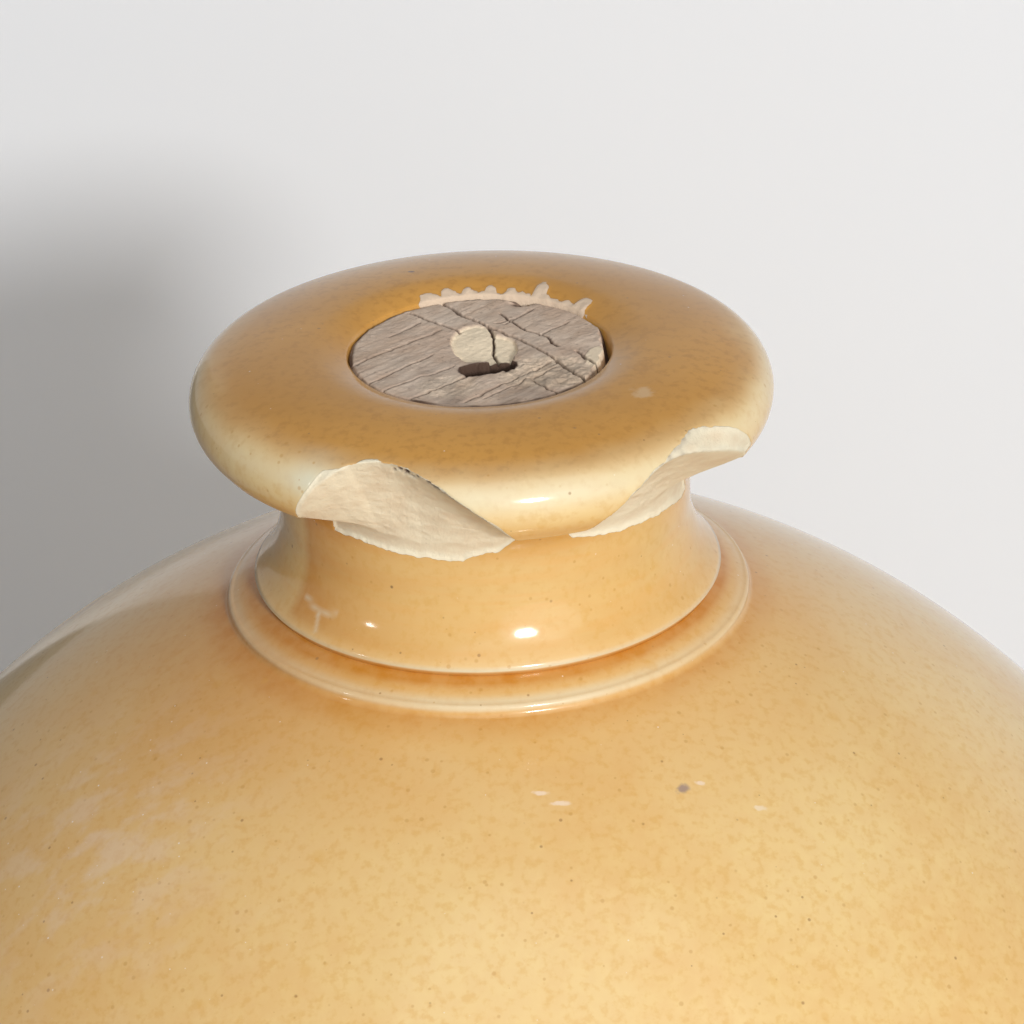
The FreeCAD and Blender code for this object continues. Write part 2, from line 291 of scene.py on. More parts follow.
def crumble(azimuth, height, radius):
    """Depth of the crumbly holes at each point: rough round pits, depth * bell(distance)."""
    depth = np.zeros(np.broadcast(azimuth, height).shape)
    for where, drop, size, deepest in CRUMBLED:
        across = np.radians(azimuth - where) * radius
        distance = np.hypot(across, (height - (CREST - drop)) * 1.3)
        distance = distance * (1 + 0.45 * grain(across, height, 0 * across, 0.5, 77))
        depth = np.maximum(depth, deepest * bell(distance, 0, size * 0.6))
    return depth


def rim_profile():
    """
    The rim's half section, from the axis under the neck, out to the crease, up the flared
    neck, round the rolled rim, over the crest and down the mouth to the seat's floor.
    Gives the points, and the rows of the outside from the crease to the crest.
    """
    hidden = CREASE[1] - 1.6
    inner = CREASE[0] - 1.5
    dome_radius = level_radius(DOME[0] - CREST_POINT[0], CREST - DOME[1])
    dome = arc(DOME, CREST_POINT, dome_radius, -1, FINE_ROW)
    keep = (dome[:, 0] > FINE_FROM) | (np.arange(len(dome)) % 3 == 0)
    before = [
        line((0, hidden), (inner, hidden), 40),
        line((inner, hidden), GROOVE, 3),
        line(GROOVE, CREASE, 0.5),
    ]
    outside = [
        arc(CREASE, WAIST, level_radius(FLARE_RISE, FLARE_OUT), 1, 0.7),
        line(WAIST, FILLET_FOOT, 0.35),
        arc(FILLET_FOOT, FILLET, NECK_FILLET, 1, FINE_ROW),
        line(FILLET, UNDER, FINE_ROW),
        arc(UNDER, DOME, EDGE_ROUND, -1, FINE_ROW),
        dome[keep],
    ]
    after = [
        arc(CREST_POINT, MOUTH, level_radius(BEVEL_WIDTH, MOUTH_DIP), -1, 0.4),
        line(MOUTH, (MOUTH_RADIUS - SEAT_TAPER, SEAT_FLOOR), 9),
        line((MOUTH_RADIUS - SEAT_TAPER, SEAT_FLOOR), (0, SEAT_FLOOR), 40),
        np.array([[0, SEAT_FLOOR]]),
    ]
    first = sum(map(len, before))
    last = first + sum(map(len, outside))
    return np.concatenate(before + outside + after), slice(first, last)


def rim_azimuths():
    """Azimuths of the columns: close together over the breaks, wide apart where the rim is plain."""
    spans = [(-57.0, -47.0, 0.5), (-47.0, 11.0, 0.3), (11.0, 16.0, 0.7), (16.0, 76.0, 0.3),
             (76.0, 124.0, 3.0), (124.0, 224.0, 0.9), (224.0, 303.0, 3.0)]
    stretches = [np.arange(round((end - start) / step)) * step + start for start, end, step in spans]
    return np.concatenate(stretches)


def shoulder_height(radius):
    """The height of the round shoulder at a radius."""
    across = SHOULDER_RADIUS - BODY_RADIUS
    level = COLLAR_FOOT[1] - math.sqrt(SHOULDER_RADIUS ** 2 - (COLLAR_FOOT[0] + across) ** 2)
    return level + math.sqrt(SHOULDER_RADIUS ** 2 - (radius + across) ** 2)


def glaze_fields(azimuth, radius, height):
    """
    How the glaze lies: thin and pale on edges, and paler still towards the front, which is painted
    sheen, as is the pale line on the bead under the rim, a painted highlight; pooled in hollows, and
    darker down the left side of the neck and shoulder, which is painted shade; deep on the rim's top;
    and a patch of painted reflection haze and glints, with scuffs, on the left shoulder.
    """
    outer = ease(radius, 33.0, 36.0) + (height < FILLET[1])
    thin_and_sheen = 0.62 * bell(height, EDGE_HEIGHT + 2.4, 2.3) * outer
    # The pale line on the bead under the rim is a painted highlight.
    thin_and_sheen = thin_and_sheen + 0.30 * bell(height, UNDER[1] + 0.4, 0.35) * (radius > 35.5)
    thin_and_sheen = thin_and_sheen + 0.75 * bell(height, CREASE[1] + 0.05, 0.3)
    lip = COLLAR_EDGE[1]
    thin_and_sheen = thin_and_sheen + 0.55 * ease(height, lip - 1.1, lip - 0.5) * (1 - ease(height, lip + 0.1, lip + 0.8))
    # Paler towards the front, where the lamps' sheen falls: painted sheen.
    thin_and_sheen = thin_and_sheen * (0.45 + 0.55 * bell(azimuth, 4, 42))
    thin_and_sheen = thin_and_sheen + 0.6 * bell(azimuth, -35.5, 5.0) * bell(CREST - height, 4.2, 2.2) * outer
    pool_and_left_shade = 1.0 * bell(height, GROOVE[1] - 0.1, 0.8)
    pool_and_left_shade = pool_and_left_shade + 0.4 * bell(height, COLLAR_FOOT[1] - 0.4, 0.9) + 0.3 * bell(height, COLLAR_FOOT[1], 9.0)
    # Darker on the neck just under the rim.
    pool_and_left_shade = pool_and_left_shade + 0.55 * bell(height, FILLET[1] - 1.5, 3.0) * (radius > NECK_RADIUS - 1) * (radius < 36)
    pool_and_left_shade = pool_and_left_shade + 0.35 * bell(height, EDGE_HEIGHT - 3.5, 1.8) * outer
    wavy = height + 0.5 * grain(azimuth, radius * 2, 0, 14.0, 53)
    wavy = wavy + 0.3 * grain(azimuth, radius * 2, 0, 4.0, 54)
    deep = ease(wavy, DOME[1] - 2.2, DOME[1] + 0.9) * (radius > MOUTH_RADIUS - 0.5)
    banded = ease(height, CREASE[1], CREASE[1] + 2) * (1 - ease(height, FILLET[1] - 1, FILLET[1] + 1))
    # Darker down the left side of the neck and shoulder, away from the lamps: painted shade.
    pool_and_left_shade = pool_and_left_shade + 1.0 * banded * bell(azimuth, -80, 40) + 0.35 * bell(azimuth, -70, 40) * (height < CREASE[1])
    for path in RIDGE:
        apart = from_path(np.radians(azimuth) * NECK_RADIUS, CREST - height, np.multiply(path, RIDGE_SCALE))
        thin_and_sheen = thin_and_sheen + 0.5 * bell(apart, 0, 0.3)
    # Where the left shoulder shows painted reflection haze and painted glints, with scuffs.
    sheen_and_scuffs = bell(azimuth, -54, 17) * bell(radius, 66, 16) * (height < COLLAR_FOOT[1])
    fields = {"thin_and_sheen": thin_and_sheen, "pool_and_left_shade": pool_and_left_shade, "deep": deep, "banded": banded, "sheen_and_scuffs": sheen_and_scuffs}
    return {name: np.clip(values, 0, 1) for name, values in fields.items()}


def crust_edge(azimuth):
    """How far out the crust reaches at an azimuth: a low band with a rounded tongue at each place."""
    around_back = azimuth % 360
    band = MOUTH_RADIUS - 1.0 + 1.8 * ease(around_back, 116, 130) * (1 - ease(around_back, 203, 213))
    band = band + 0.3 * grain(azimuth, 0 * azimuth, 0 * azimuth, 2.2, 71)
    for where, reach, half in CRUST_TONGUES:
        apart = (around_back + 1.3 * grain(azimuth, 0, 0, 3.1, 74) - where) / half
        peak = np.sqrt(np.clip(1 - apart ** 2, 0, 1))
        tongue = MOUTH_RADIUS + 0.6 + (reach - MOUTH_RADIUS - 0.6) * peak
        band = np.where(peak > 0, np.maximum(band, tongue), band)
    return np.where((around_back > 122) & (around_back < 226), band, MOUTH_RADIUS - 3)


def make_rim(material):
    """The rolled rim, mouth and flared neck, with the two breaks taken out of it."""
    profile, outside = rim_profile()
    azimuth = rim_azimuths()[None, :]
    old_radius = np.repeat(profile[:, :1], azimuth.size, axis=1)
    height = np.repeat(profile[:, 1:], azimuth.size, axis=1)
    order = np.argsort(profile[outside, 1])

    def outer_radius(level):
        """The unbroken outer radius at a height between the crease and the crest."""
        return np.interp(level, profile[outside, 1][order], profile[outside, 0][order])

    radius = old_radius.copy()
    bare = np.full(radius.shape, -3.0)
    shade_and_dark_holes = np.zeros(radius.shape)
    rows_azimuth = np.repeat(azimuth, outside.stop - outside.start, axis=0)
    rows_height, rows_radius = height[outside], old_radius[outside]
    for seed, edges in BREAKS.items():
        reach = (azimuth[0] > edges["upper"][0][0]) & (azimuth[0] < edges["upper"][-1][0])
        left, inside = break_away(edges, seed, rows_azimuth, rows_height, rows_radius, outer_radius)
        radius[outside] = np.where(reach, np.minimum(left, radius[outside]), radius[outside])
        bare[outside] = np.where(reach, np.maximum(inside, bare[outside]), bare[outside])
    holes = crumble(rows_azimuth, rows_height, rows_radius) * (bare[outside] > 0)
    radius[outside] -= holes
    # Painted shade: a thin dark line under the glaze edge along the top of the breaks, and a wider one down
    # the left break's steep right wall. The crumbly holes are darkened as well.
    under_edge = (bare[outside] > 0) * bell(bare[outside], 0, 0.45) * (rows_height > CREST - 15)
    shade = under_edge * ease(rows_azimuth, -22, -12) * (1 - ease(rows_azimuth, 44, 58))
    shade = shade * (0.4 + 0.35 * grain(rows_azimuth, rows_height, 0, 1.1, 78))
    wide = (bare[outside] > 0) * bell(bare[outside], 0, 1.9)
    wide = wide * ease(rows_azimuth, -16, -8) * (rows_azimuth < 12)
    shade_and_dark_holes[outside] = np.maximum.reduce([ease(holes, 0.1, 0.5), shade, 0.2 * wide * (rows_height > CREST - 15)])
    glazed = bare < 0
    radius += glazed * 0.2 * bell(height, UNDER[1] + 0.6, 0.4) * (old_radius > 35.5)
    radius += glazed * turning_marks(height) * (height < UNDER[1])
    bevel = slice(outside.stop, outside.stop + sum(profile[outside.stop:, 0] > MOUTH_RADIUS - 0.01))
    crust = crust_edge(azimuth) - old_radius[bevel]
    crust = crust + 0.35 * grain(azimuth * 0.4, old_radius[bevel], 0, 0.7, 75)
    bare[bevel] = np.clip(crust, -3, 3)
    lumps = 1 + 0.6 * grain(azimuth, old_radius[bevel] * 2, 0, 2.0, 73)
    height[bevel] += 0.22 * ease(crust, -0.1, 0.5) * lumps
    fields = {"bare": bare, "shade_and_dark_holes": shade_and_dark_holes, "crust": 1.0 * (old_radius < 24)}
    fields |= glaze_fields(azimuth, old_radius, height)
    radius[[0, -1]] = 0
    return around("rim_and_neck", azimuth[0], radius, height, fields, material)


def turning_marks(height):
    """Faint rings left by turning: a few hundredths of a millimetre in or out with height."""
    still = 0 * height
    return 0.045 * grain(still, still, height, 2.4, 51) + 0.015 * grain(still, still, height, 0.9, 52)


def make_body(material):
    """The collar, the round shoulder, the wall and the foot, closed on the axis above and below."""
    hidden = CREASE[1] - 0.7
    inner = CREASE[0] - 1.4
    run = COLLAR_FOOT[0] - BODY_RADIUS + SHOULDER_RADIUS
    shoulder_foot = (BODY_RADIUS, COLLAR_FOOT[1] - math.sqrt(SHOULDER_RADIUS ** 2 - run ** 2))
    fall = math.asin(run / SHOULDER_RADIUS)
    pool_foot = (COLLAR_FOOT[0] + COLLAR_STEP * math.cos(fall), COLLAR_FOOT[1] - COLLAR_STEP * math.sin(fall))
    lip_in = (COLLAR_EDGE[0] - COLLAR_LIP, COLLAR_EDGE[1])
    lip_out = (COLLAR_EDGE[0], COLLAR_EDGE[1] - COLLAR_LIP)
    profile = np.concatenate([
        line((0, 0), (BODY_RADIUS - FOOT_ROUND, 0), 30),
        arc((BODY_RADIUS - FOOT_ROUND, 0), (BODY_RADIUS, FOOT_ROUND), FOOT_ROUND, -1, 0.8),
        line((BODY_RADIUS, FOOT_ROUND), shoulder_foot, 8),
        arc(shoulder_foot, pool_foot, SHOULDER_RADIUS, -1, 2.2),
        arc(pool_foot, lip_out, POOL_ROUND, 1, 0.15),
        arc(lip_out, lip_in, COLLAR_LIP, -1, 0.16),
        line(lip_in, GROOVE, 0.4),
        line(GROOVE, (inner, hidden), 0.6),
        line((inner, hidden), (0, hidden), 40),
        np.array([[0, hidden]]),
    ])
    azimuth = np.arange(BODY_COLUMNS) * 360 / BODY_COLUMNS
    radius = np.repeat(profile[:, :1], azimuth.size, axis=1)
    height = np.repeat(profile[:, 1:], azimuth.size, axis=1)
    bare = np.where(height < 0.6, 1.0, -3.0)
    facing = (azimuth[None, :] + 180) % 360 - 180
    fields = {"bare": bare, "shade_and_dark_holes": 0 * bare, "crust": 0 * bare} | glaze_fields(facing, radius, height)
    radius[[0, -1]] = 0
    return around("shoulder_and_body", azimuth, radius, height, fields, material)


def add(tree, kind, values=None, **settings):
    """One shader node: settings are its properties, and values its inputs, where a socket is linked."""
    made = tree.nodes.new(kind)
    for key, value in settings.items():
        setattr(made, key, value)
    for key, value in (values or {}).items():
        if isinstance(value, bpy.types.NodeSocket):
            tree.links.new(value, made.inputs[key])
        else:
            made.inputs[key].default_value = value
    return made


def maths(tree, operation, first, second=0.0, third=0.0):
    """The result of a Math node."""
    return add(tree, "ShaderNodeMath", {0: first, 1: second, 2: third}, operation=operation).outputs[0]


def blend(tree, share, under, over, way="MIX"):
    """Two colours mixed by a share from 0 to 1."""
    values = {0: share, 6: under, 7: over}
    return add(tree, "ShaderNodeMix", values, data_type="RGBA", blend_type=way).outputs[2]


def spread(tree, value, start, end, low=0.0, high=1.0):
    """A value mapped smoothly from start..end to low..high and held there beyond them."""
    values = {0: value, 1: start, 2: end, 3: low, 4: high}
    return add(tree, "ShaderNodeMapRange", values, interpolation_type="SMOOTHSTEP").outputs[0]


def field(tree, name):
    """A point attribute of the piece."""
    return add(tree, "ShaderNodeAttribute", attribute_name=name).outputs["Fac"]


def colour(red, green, blue):
    """A plain colour for a socket."""
    return (red, green, blue, 1.0)


def new_group(name, inputs, outputs):
    """An empty shader group with named inputs, each with its default, and named outputs."""
    tree = bpy.data.node_groups.new(name, "ShaderNodeTree")
    for label, kind, default in inputs:
        socket = tree.interface.new_socket(label, in_out="INPUT", socket_type=kind)
        if default is not None:
            socket.default_value = default
    for label, kind in outputs:
        tree.interface.new_socket(label, in_out="OUTPUT", socket_type=kind)
    return tree, add(tree, "NodeGroupInput"), add(tree, "NodeGroupOutput")


def make_specks():
    """Group: scattered round specks of uneven size, one to a cell, as a mask."""
    inputs = [("Place", "NodeSocketVector", None), ("Spacing", "NodeSocketFloat", 0.003),
              ("Size", "NodeSocketFloat", 0.2), ("Share", "NodeSocketFloat", 0.5)]
    tree, given, result = new_group("specks", inputs, [("Mask", "NodeSocketFloat")])
    scale = maths(tree, "DIVIDE", 1.0, given.outputs["Spacing"])
    values = {"Vector": given.outputs["Place"], "Scale": scale, "Randomness": 1.0}
    cells = add(tree, "ShaderNodeTexVoronoi", values)
    chance = add(tree, "ShaderNodeSeparateColor", {0: cells.outputs["Color"]})
    there = maths(tree, "LESS_THAN", chance.outputs[0], given.outputs["Share"])
    reach = maths(tree, "MULTIPLY", given.outputs["Size"], maths(tree, "ADD", chance.outputs[1], 0.35))
    inner = maths(tree, "MULTIPLY", reach, 0.45)
    mask = spread(tree, cells.outputs["Distance"], reach, inner)
    tree.links.new(maths(tree, "MULTIPLY", mask, there), result.inputs["Mask"])
    return tree


def make_mottle():
    """Group: soft cloudy mottling between 0 and 1, stretched by the scale given for each axis."""
    inputs = [("Place", "NodeSocketVector", None), ("Scale", "NodeSocketVector", (100.0, 100.0, 100.0)),
              ("Low", "NodeSocketFloat", 0.4), ("High", "NodeSocketFloat", 0.65)]
    tree, given, result = new_group("mottle", inputs, [("Mask", "NodeSocketFloat")])
    place = add(tree, "ShaderNodeVectorMath", {0: given.outputs["Place"], 1: given.outputs["Scale"]},
                operation="MULTIPLY").outputs[0]
    noise = add(tree, "ShaderNodeTexNoise", {"Vector": place, "Scale": 1.0, "Detail": 5.0, "Roughness": 0.55})
    mask = spread(tree, noise.outputs[0], given.outputs["Low"], given.outputs["High"])
    tree.links.new(mask, result.inputs["Mask"])
    return tree


def grouped(tree, group, **values):
    """The mask of a shared group placed in a material's tree with its own values."""
    made = add(tree, "ShaderNodeGroup", node_tree=group)
    for key, value in values.items():
        if isinstance(value, bpy.types.NodeSocket):
            tree.links.new(value, made.inputs[key])
        else:
            made.inputs[key].default_value = value
    return made.outputs["Mask"]


def new_material(name):
    """A material with a Principled shader, its tree, and the piece's own place."""
    material = bpy.data.materials.new(name)
    material.use_nodes = True
    tree = material.node_tree
    tree.nodes.clear()
    shader = add(tree, "ShaderNodeBsdfPrincipled")
    output = add(tree, "ShaderNodeOutputMaterial")
    tree.links.new(shader.outputs[0], output.inputs["Surface"])
    place = add(tree, "ShaderNodeTexCoord").outputs["Object"]
    return material, tree, shader, place


# Marks on the glaze: azimuth, radius, drop from the crest, half sizes and colour. Where the drop is None,
# the mark is on the shoulder and takes its height from there.
MARKS = [
    (50.1, 27.8, 0.3, (1.7, 1.7, 1.2), (0.72, 0.47, 0.24)),
    (28.3, 51.5, None, (0.95, 0.95, 0.95), (0.28, 0.20, 0.20)),
    (-159.7, 26.9, 0.2, (0.5, 0.4, 0.4), (0.10, 0.07, 0.05)),
    (57.8, 39.8, 5.4, (0.5, 0.5, 0.5), (0.16, 0.09, 0.05)),
    (6.7, 48.2, None, (1.2, 0.4, 0.6), (0.93, 0.74, 0.56)),
    (9.5, 49.9, None, (1.4, 0.4, 0.5), (0.93, 0.74, 0.56)),
    (31.3, 51.5, None, (0.9, 0.4, 0.6), (0.93, 0.74, 0.56)),
    (37.2, 57.1, None, (1.5, 0.5, 0.5), (0.90, 0.72, 0.50)),
]
# Specks all over the glaze, from amber ones to pale grit: spacing in metres, size and share of the
# cells that hold one, then strength and colour.
GLAZE_SPECKS = [
    (0.0065, 0.16, 0.5, 0.22, (0.72, 0.36, 0.04)),
    (0.0021, 0.15, 0.8, 0.42, (0.56, 0.27, 0.05)),
    (0.0034, 0.075, 0.8, 0.65, (0.36, 0.18, 0.06)),
    (0.0085, 0.033, 0.6, 0.8, (0.14, 0.08, 0.04)),
    # The last, pale grit, are painted glints.
    (0.0026, 0.05, 0.7, 0.6, (0.97, 0.88, 0.72)),
]


def marked(tree, place, base):
    """The glaze's colour with its few single marks, each an uneven oval about its own place."""
    wobble = add(tree, "ShaderNodeTexNoise", {"Vector": place, "Scale": 900.0, "Detail": 2.0}).outputs[0]
    wobble = spread(tree, wobble, 0.3, 0.7, -0.24, 0.24)
    for azimuth, radius, drop, size, shade in MARKS:
        turn = math.radians(azimuth)
        height = shoulder_height(radius) if drop is None else CREST - drop
        centre = Vector((radius * math.sin(turn), -radius * math.cos(turn), height)) * MM
        scale = Vector([1 / (half * MM) for half in size])
        moved = add(tree, "ShaderNodeVectorMath", {0: place, 1: centre}, operation="SUBTRACT").outputs[0]
        scaled = add(tree, "ShaderNodeVectorMath", {0: moved, 1: scale}, operation="MULTIPLY").outputs[0]
        reach = add(tree, "ShaderNodeVectorMath", {0: scaled}, operation="LENGTH").outputs[1]
        reach = maths(tree, "ADD", reach, wobble)
        base = blend(tree, spread(tree, reach, 1.15, 0.4, 0.0, 0.75), base, colour(*shade))
    return base


def glaze_colour(tree, place, specks, mottle):
    """Honey glaze: cloudy, deeper where it pooled and where shade is painted down its left side, paler
    where it ran thin and where sheen is painted at the front, freckled and pinholed, with painted glints.
    """
    straw, honey = colour(0.86, 0.60, 0.262), colour(0.79, 0.43, 0.125)
    clouds = grouped(tree, mottle, Place=place, Scale=(38.0, 38.0, 38.0), Low=0.34, High=0.68)
    small = grouped(tree, mottle, Place=place, Scale=(330.0, 330.0, 330.0), Low=0.38, High=0.68)
    base = blend(tree, maths(tree, "MULTIPLY", clouds, 0.45), straw, honey)
    base = blend(tree, maths(tree, "MULTIPLY", small, 0.28), base, colour(0.92, 0.69, 0.30))
    patches = grouped(tree, mottle, Place=place, Scale=(800.0, 800.0, 800.0), Low=0.46, High=0.70)
    base = blend(tree, maths(tree, "MULTIPLY", patches, 0.36), base, colour(0.72, 0.38, 0.07))
    base = blend(tree, maths(tree, "MULTIPLY", field(tree, "banded"), 0.4), base, colour(0.66, 0.39, 0.11))
    rings = grouped(tree, mottle, Place=place, Scale=(70.0, 70.0, 620.0), Low=0.42, High=0.66)
    ring_share = maths(tree, "MULTIPLY", maths(tree, "MULTIPLY", rings, field(tree, "banded")), 0.35)
    base = blend(tree, ring_share, base, honey)
    brown = blend(tree, patches, colour(0.67, 0.31, 0.045), colour(0.57, 0.255, 0.035))
    brown = blend(tree, maths(tree, "MULTIPLY", clouds, 0.5), brown, colour(0.50, 0.22, 0.025))
    base = blend(tree, maths(tree, "MULTIPLY", field(tree, "deep"), 0.94), base, brown)
    clouded = maths(tree, "ADD", maths(tree, "MULTIPLY", small, 0.2), 0.8)
    # Deep amber where the glaze pooled, and as painted shade down the left side.
    pooled_and_shaded = maths(tree, "MULTIPLY", field(tree, "pool_and_left_shade"), clouded)
    base = blend(tree, pooled_and_shaded, base, colour(0.60, 0.235, 0.025))
    # Pale where the glaze ran thin, with painted sheen at the front and a painted highlight on the bead under
    # the rim.
    even = maths(tree, "SUBTRACT", 1.0, maths(tree, "MULTIPLY", clouds, 0.35))
    thin_and_sheen = maths(tree, "MULTIPLY", field(tree, "thin_and_sheen"), even)
    base = blend(tree, thin_and_sheen, base, colour(0.81, 0.75, 0.55))
    for spacing, size, share, strength, shade in GLAZE_SPECKS:
        layer = grouped(tree, specks, Place=place, Spacing=spacing, Size=size, Share=share)
        base = blend(tree, maths(tree, "MULTIPLY", layer, strength), base, colour(*shade))
    # Painted reflection haze in pale streaks, and painted glints, on the left shoulder, where it is also
    # scuffed.
    sheen_and_scuffs = field(tree, "sheen_and_scuffs")
    streaks = grouped(tree, mottle, Place=place, Scale=(140.0, 220.0, 90.0), Low=0.44, High=0.62)
    streaks = maths(tree, "MULTIPLY", maths(tree, "MULTIPLY", streaks, sheen_and_scuffs), 0.3)
    base = blend(tree, streaks, base, colour(0.84, 0.68, 0.58))
    glints = grouped(tree, specks, Place=place, Spacing=0.0017, Size=0.09, Share=0.8)
    glints = maths(tree, "MULTIPLY", glints, spread(tree, sheen_and_scuffs, 0.1, 0.8))
    base = blend(tree, maths(tree, "MULTIPLY", glints, 0.7), base, colour(0.97, 0.88, 0.76))
    return marked(tree, place, base)


def clay_colour(tree, place, specks, mottle):
    """Pale buff clay, whiter just inside the edge of a break, dark in its crumbly holes, and with painted
    shade along the breaks' upper edges and down the left break's right wall.
    """
    clouds = grouped(tree, mottle, Place=place, Scale=(240.0, 240.0, 420.0), Low=0.35, High=0.7)
    clay = blend(tree, clouds, colour(0.86, 0.74, 0.53), colour(0.79, 0.64, 0.44))
    grog = grouped(tree, specks, Place=place, Spacing=0.0016, Size=0.13, Share=0.3)
    clay = blend(tree, maths(tree, "MULTIPLY", grog, 0.25), clay, colour(0.55, 0.42, 0.30))
    edge = spread(tree, field(tree, "bare"), 1.5, 0.2, 0.0, 0.6)
    clay = blend(tree, edge, clay, colour(0.90, 0.82, 0.62))
    clay = blend(tree, field(tree, "crust"), clay, colour(0.80, 0.61, 0.44))
    # Dark in the crumbly holes, and painted shade along the breaks' edges.
    return blend(tree, field(tree, "shade_and_dark_holes"), clay, colour(0.20, 0.13, 0.09))


def make_glaze(specks, mottle):
    """Honey glaze over pale clay, bare and rough where the attribute says the glaze is gone."""
    material, tree, shader, place = new_material("honey_glaze_on_stoneware")
    gone = spread(tree, field(tree, "bare"), -0.03, 0.05)
    glaze, clay = (make(tree, place, specks, mottle) for make in (glaze_colour, clay_colour))
    tree.links.new(blend(tree, gone, glaze, clay), shader.inputs["Base Color"])
    dull = grouped(tree, mottle, Place=place, Scale=(70.0, 70.0, 70.0), Low=0.55, High=0.75)
    gloss = maths(tree, "ADD", 0.11, maths(tree, "MULTIPLY", dull, 0.12))
    roughness = maths(tree, "MAXIMUM", gloss, maths(tree, "MULTIPLY", gone, 0.9))
    tree.links.new(roughness, shader.inputs["Roughness"])
    coat = maths(tree, "MULTIPLY", maths(tree, "SUBTRACT", 1.0, gone), 0.25)
    tree.links.new(coat, shader.inputs["Coat Weight"])
    shader.inputs["Coat Roughness"].default_value = 0.5
    peel = add(tree, "ShaderNodeTexNoise", {"Vector": place, "Scale": 380.0, "Detail": 3.0}).outputs[0]
    coarse = {"Vector": place, "Scale": 1500.0, "Detail": 6.0, "Roughness": 0.7}
    grit = add(tree, "ShaderNodeTexNoise", coarse).outputs[0]
    relief = {0: gone, 2: maths(tree, "MULTIPLY", peel, 0.00002), 3: maths(tree, "MULTIPLY", grit, 0.00016)}
    height = add(tree, "ShaderNodeMix", relief, data_type="FLOAT").outputs[0]
    bump = add(tree, "ShaderNodeBump", {"Height": height, "Distance": 1.0, "Strength": 1.0})
    tree.links.new(bump.outputs[0], shader.inputs["Normal"])
    shader.inputs["IOR"].default_value = 1.46
    return material


# The bung's top, across (x) and towards the back (y) from its centre. A line is its ends,
# then its width and depth.
SAW_ANGLE = math.radians(43)
SAW_MARKS = [((-17.4, -3.2), (-5.4, 7.7), 0.2, 0.22), ((-15.1, -9.0), (-6.5, -0.5), 0.18, 0.2),
             ((-13.5, -11.6), (-3.5, -4.5), 0.18, 0.2), ((-9.4, -14.3), (4.3, -2.6), 0.22, 0.25),
             ((-2.3, -16.1), (9.5, -3.8), 0.2, 0.25), ((0.2, -15.1), (10.2, -5.8), 0.2, 0.2),
             ((3.8, 8.8), (7.7, 13.7), 0.2, 0.22), ((8.2, 4.6), (12.3, 8.7), 0.18, 0.2),
             ((-12.3, 5.8), (-8.1, 10.2), 0.18, 0.16), ((2.5, 9.2), (5.0, 10.7), 0.2, 0.2)]
CRACKS = [([(-5.3, 17.4), (-2.4, 12.6), (1.2, 8.4), (6.6, 2.1), (10.8, -4.2), (14.6, -11.4)], 0.19, 1.1),
          ([(-9.5, 13.7), (-6.0, 10.0), (-2.6, 7.0)], 0.17, 0.7),
          ([(3.0, 12.6), (5.7, 7.5), (9.0, 4.2), (10.7, 0.7)], 0.16, 0.5),
          ([(1.2, 8.4), (2.0, 5.0), (1.8, 1.0), (2.4, -2.4)], 0.15, 0.6),
          ([(13.0, -1.0), (16.6, -7.3)], 0.16, 0.8),
          ([(6.9, -9.7), (8.9, -13.0), (11.1, -15.1)], 0.16, 0.5)]
# The pit behind the front edge: each lobe's centre, half length and half width, turn and depth.
PIT_LOBES = [
    (-0.6, -6.1, 2.2, 2.0, 0.15, 7.5),
    (1.2, -5.6, 2.0, 1.8, 0.3, 7.5),
    (3.0, -4.5, 1.9, 2.0, 0.5, 7.0),
]


